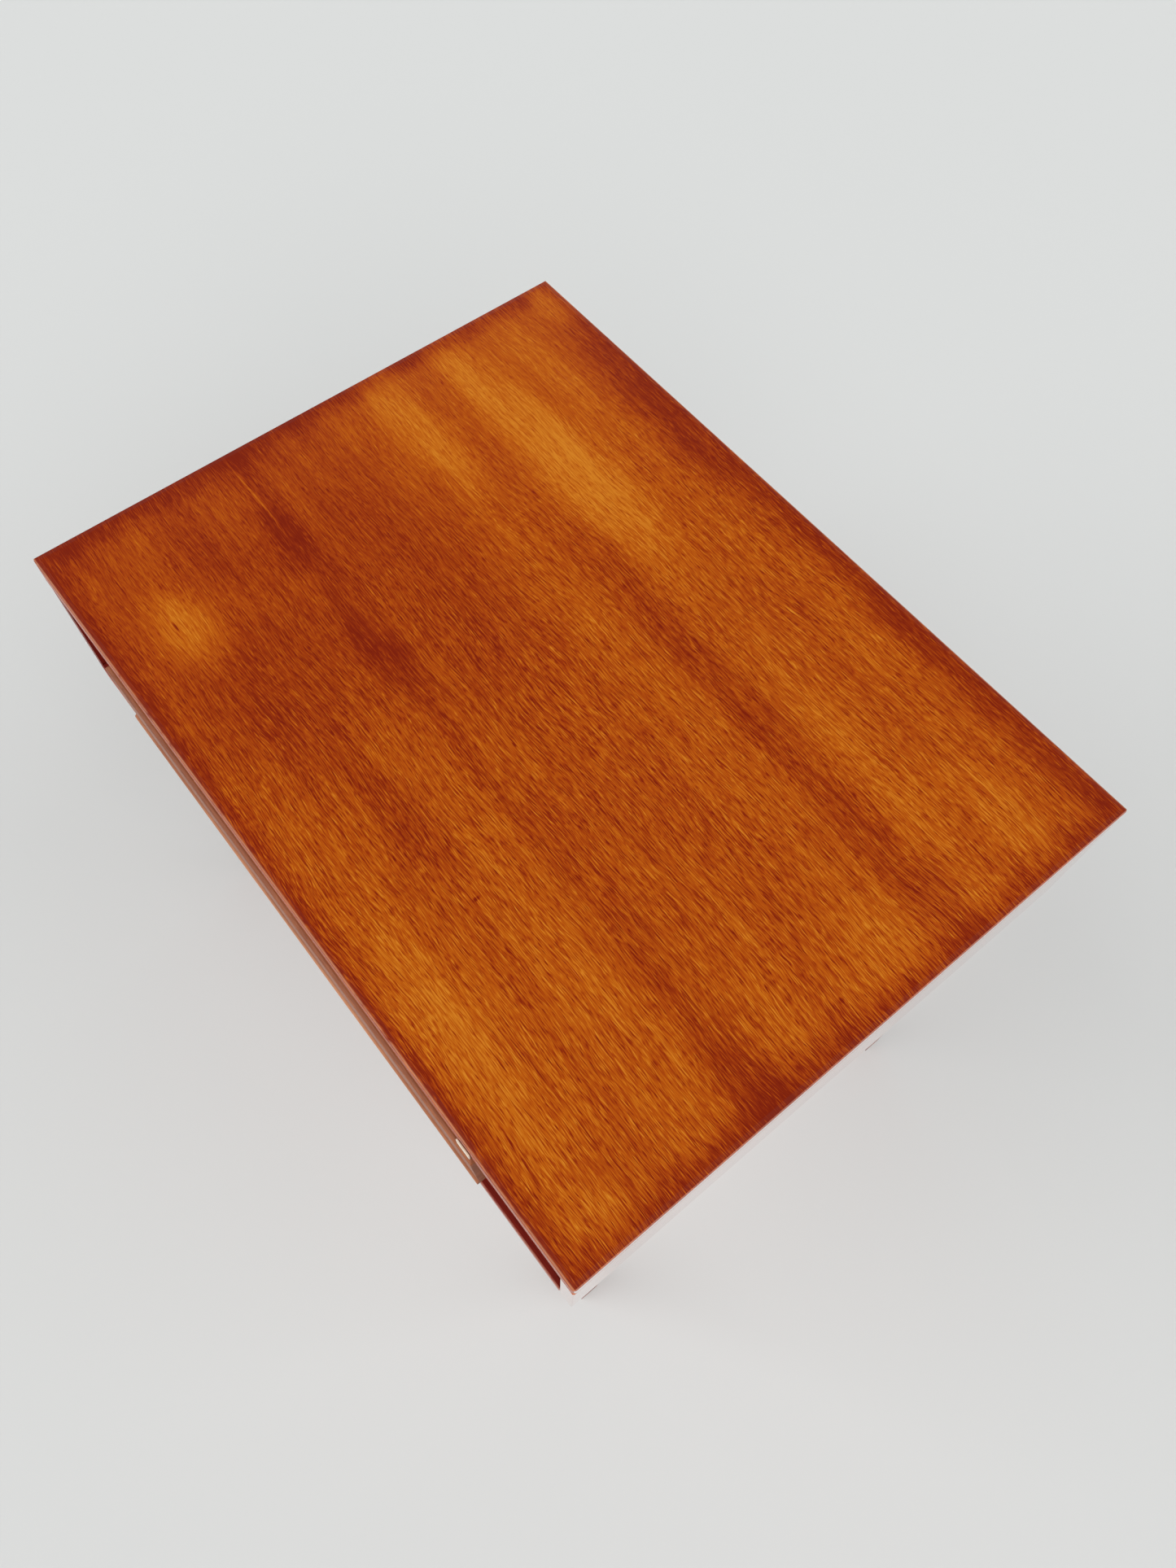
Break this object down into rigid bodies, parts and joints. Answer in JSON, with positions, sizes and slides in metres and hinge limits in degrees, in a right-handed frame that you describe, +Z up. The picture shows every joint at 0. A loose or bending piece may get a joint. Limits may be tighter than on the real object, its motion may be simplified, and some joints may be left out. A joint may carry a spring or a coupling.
{
  "type": "sewing table",
  "caption": "Low sewing table with a glossy veneered case, open front compartments, a hung middle drawer with a sliding tray, and tapered square legs.",
  "frame": {"origin": "on the floor, below the middle of the outline seen from above", "axes": "+X to the right as seen from the front, +Y to the back, +Z up; the drawer opens towards -Y"},
  "size_m": [0.6, 0.4534, 0.55],
  "materials": {
    "top_veneer": "glossy lacquered red-brown veneer with a darker border, grain along the length",
    "edge_lipping": "glossy lacquered solid edge",
    "case_veneer": "glossy lacquered red-brown veneer",
    "drawer_veneer": "satin brown veneer",
    "inner_veneer": "dark red-brown satin veneer",
    "leg_wood": "dark red-brown satin lacquer",
    "beech": "pale beech, oiled",
    "plywood": "pale birch plywood",
    "bolt_steel": "zinc plated",
    "screw_brass": "plain brass",
    "nylon": "white nylon"
  },
  "bodies": {
    "table": {"top_board": "top_veneer", "top_lipping_front": "edge_lipping", "top_lipping_back": "edge_lipping", "top_lipping_left": "edge_lipping", "top_lipping_right": "edge_lipping", "side_panel_left": "case_veneer", "side_panel_right": "case_veneer", "bottom_board": "case_veneer", "back_panel": "inner_veneer", "case_dowels_upper": "beech", "case_dowels_lower": "beech", "leg_front_left": "leg_wood", "leg_front_right": "leg_wood", "leg_back_left": "leg_wood", "leg_back_right": "leg_wood", "leg_hanger_bolts": "bolt_steel", "leg_threaded_inserts": "screw_brass", "foot_glides": "nylon", "drawer_runner_left": "beech", "drawer_runner_right": "beech", "runner_screws": "screw_brass", "drawer_stop_blocks": "beech"},
    "drawer": {"drawer_front": "drawer_veneer", "drawer_side_left": "beech", "drawer_side_right": "beech", "drawer_back": "beech", "drawer_bottom": "plywood", "drawer_dowels": "beech", "drawer_buffer": "nylon", "tray_ledge_front": "beech", "tray_ledge_back": "beech", "drawer_divider_long": "beech", "drawer_divider_left": "beech", "drawer_divider_right": "beech", "reel_peg_board": "beech", "reel_pegs": "beech"},
    "tray": {"tray_base": "plywood", "tray_wall_front": "beech", "tray_wall_back": "beech", "tray_wall_left": "beech", "tray_wall_right": "beech", "tray_divider_long": "beech", "tray_dividers_short": "beech"}
  },
  "joints": [
    {"name": "drawer_slide", "type": "slide", "parent": "table", "child": "drawer", "axis": [0, -1, 0], "range_m": [0, 0.3]},
    {"name": "tray_slide", "type": "slide", "parent": "drawer", "child": "tray", "axis": [1, 0, 0], "range_m": [0, 0.1922]}
  ]
}
